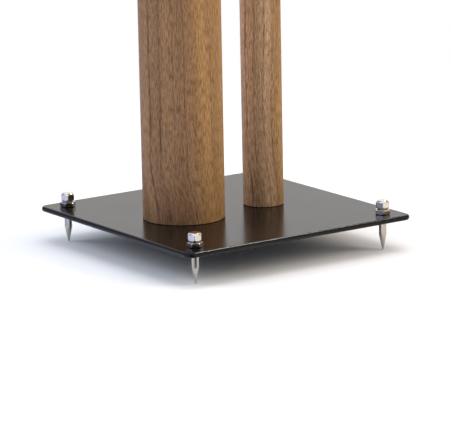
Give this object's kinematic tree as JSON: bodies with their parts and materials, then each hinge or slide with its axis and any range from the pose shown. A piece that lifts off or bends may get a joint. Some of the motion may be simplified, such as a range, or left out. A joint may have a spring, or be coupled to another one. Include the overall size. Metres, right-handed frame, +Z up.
{
  "type": "speaker stand",
  "caption": "Loudspeaker stand: large and small round walnut-faced columns between steel plates, on adjustable hexagon-headed floor spikes with lock nuts.",
  "frame": {"origin": "on the floor under the middle of the base plate, level with the spike tips", "axes": "+Z up along the columns, -Y to the front where the large column stands, +X to the right seen from the front"},
  "size_m": [0.254, 0.249, 0.6025],
  "materials": {
    "black_steel": "satin",
    "tube_steel": "plain mill finish, hidden",
    "walnut": "oiled, straight vertical grain",
    "black_screws": "black oxide",
    "polished_chrome": "polished",
    "plated_steel": "bright plated",
    "pad_rubber": "matt"
  },
  "bodies": {
    "stand": {"base_plate": "black_steel", "top_plate": "black_steel", "main_column_tube": "tube_steel", "main_column_veneer": "walnut", "main_column_lower_disc": "black_steel", "main_column_upper_disc": "black_steel", "main_column_lower_screws": "black_screws", "main_column_upper_screws": "black_screws", "rear_column_tube": "tube_steel", "rear_column_veneer": "walnut", "rear_column_lower_disc": "black_steel", "rear_column_upper_disc": "black_steel", "rear_column_lower_screws": "black_screws", "rear_column_upper_screws": "black_screws", "rubber_pad_front_left": "pad_rubber", "rubber_pad_front_right": "pad_rubber", "rubber_pad_rear_left": "pad_rubber", "rubber_pad_rear_right": "pad_rubber"},
    "spike_front_left": {"spike_front_left": "polished_chrome"},
    "lock_nut_front_left": {"lock_nut_front_left": "plated_steel"},
    "spike_front_right": {"spike_front_right": "polished_chrome"},
    "lock_nut_front_right": {"lock_nut_front_right": "plated_steel"},
    "spike_rear_left": {"spike_rear_left": "polished_chrome"},
    "lock_nut_rear_left": {"lock_nut_rear_left": "plated_steel"},
    "spike_rear_right": {"spike_rear_right": "polished_chrome"},
    "lock_nut_rear_right": {"lock_nut_rear_right": "plated_steel"}
  },
  "joints": [
    {"name": "spike_front_left_height", "type": "slide", "parent": "stand", "child": "spike_front_left", "axis": [0, 0, 1], "range_m": [0, 0.008]},
    {"name": "lock_nut_front_left_turn", "type": "hinge", "parent": "stand", "child": "lock_nut_front_left", "pos_m": [-0.107, -0.1045, 0.034], "axis": [0, 0, 1], "continuous": true},
    {"name": "spike_front_right_height", "type": "slide", "parent": "stand", "child": "spike_front_right", "axis": [0, 0, 1], "range_m": [0, 0.008]},
    {"name": "lock_nut_front_right_turn", "type": "hinge", "parent": "stand", "child": "lock_nut_front_right", "pos_m": [0.107, -0.1045, 0.034], "axis": [0, 0, 1], "continuous": true},
    {"name": "spike_rear_left_height", "type": "slide", "parent": "stand", "child": "spike_rear_left", "axis": [0, 0, 1], "range_m": [0, 0.008]},
    {"name": "lock_nut_rear_left_turn", "type": "hinge", "parent": "stand", "child": "lock_nut_rear_left", "pos_m": [-0.107, 0.1045, 0.034], "axis": [0, 0, 1], "continuous": true},
    {"name": "spike_rear_right_height", "type": "slide", "parent": "stand", "child": "spike_rear_right", "axis": [0, 0, 1], "range_m": [0, 0.008]},
    {"name": "lock_nut_rear_right_turn", "type": "hinge", "parent": "stand", "child": "lock_nut_rear_right", "pos_m": [0.107, 0.1045, 0.034], "axis": [0, 0, 1], "continuous": true}
  ]
}
